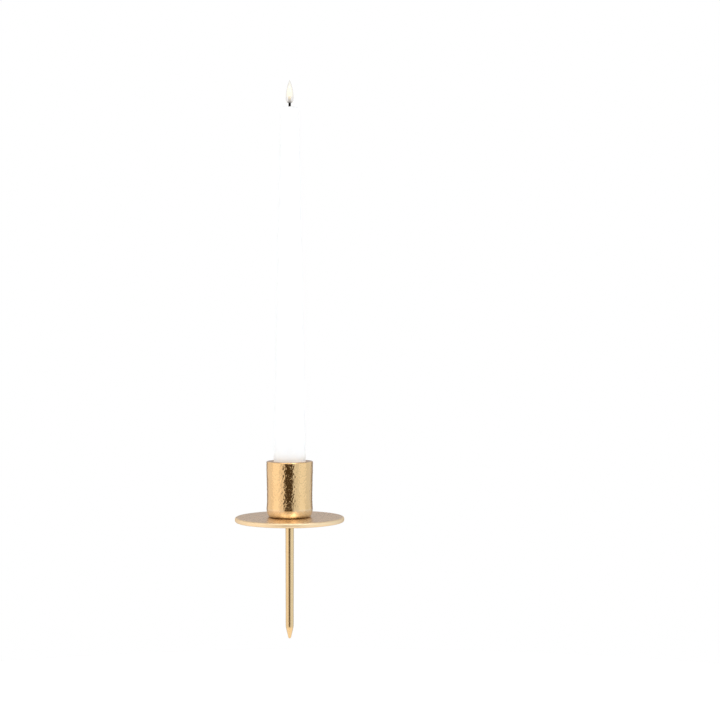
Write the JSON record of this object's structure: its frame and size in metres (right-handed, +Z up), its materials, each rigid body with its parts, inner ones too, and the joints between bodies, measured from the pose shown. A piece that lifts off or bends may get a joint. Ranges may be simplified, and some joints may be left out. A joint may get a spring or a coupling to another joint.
{
  "type": "spiked candlestick",
  "caption": "Gold taper-candle holder: a cup on a round drip plate over a push-in spike, holding a battery candle with a flame-shaped lens and a slide switch in its foot.",
  "frame": {"origin": "centre of the drip plate's underside, on the axis of spike, cup and candle, where the plate comes to rest on whatever the spike is pushed into", "axes": "+Z up along the axis towards the flame, with the spike pointing down -Z; -Y is the front, where the candle's battery cradle is open; +X is the way the switch slides from its first place to its second"},
  "size_m": [0.075, 0.075, 0.3829],
  "materials": {
    "cast_brass": "cast, fine grain, polished over",
    "plated_steel": "zinc plated",
    "spring_nickel": "nickel plated, smooth",
    "wax": "smooth satin wax",
    "white_plastic": "moulded, satin",
    "black_plastic": "moulded, satin",
    "battery_jacket": "plain lacquered sleeve",
    "board": "solder mask",
    "copper": "enamelled wire",
    "clear_lens": "clear, slightly frosted"
  },
  "bodies": {
    "candlestick": {"candle_cup": "cast_brass", "drip_plate": "cast_brass", "spike": "cast_brass", "lock_washer": "plated_steel", "clamp_nut": "plated_steel"},
    "battery_foot": {"battery_holder": "white_plastic", "base_cover": "white_plastic", "cover_screw_front": "plated_steel", "cover_screw_rear": "plated_steel", "switch_case": "plated_steel", "battery_lower": "battery_jacket", "battery_upper": "battery_jacket", "negative_spring": "spring_nickel", "positive_rivet": "spring_nickel", "return_strip": "spring_nickel"},
    "switch": {"switch_knob": "black_plastic"},
    "candle": {"wax_shell": "wax", "core_tube": "white_plastic", "circuit_board": "board", "timer_chip": "black_plastic", "resistor": "black_plastic", "positive_board_spring": "spring_nickel", "negative_board_spring": "spring_nickel", "led_wire_positive": "copper", "led_wire_negative": "copper", "wick_plug": "white_plastic", "wick_sleeve": "black_plastic", "led": "clear_lens", "flame_lens": "clear_lens"}
  },
  "joints": [
    {"name": "candle_lift", "type": "slide", "parent": "candlestick", "child": "battery_foot", "axis": [0, 0, 1], "range_m": [0, 0.05]},
    {"name": "candle_pull", "type": "slide", "parent": "battery_foot", "child": "candle", "axis": [0, 0, 1], "range_m": [0, 0.115]},
    {"name": "switch_slide", "type": "slide", "parent": "battery_foot", "child": "switch", "axis": [1, 0, 0], "range_m": [0, 0.003]}
  ]
}
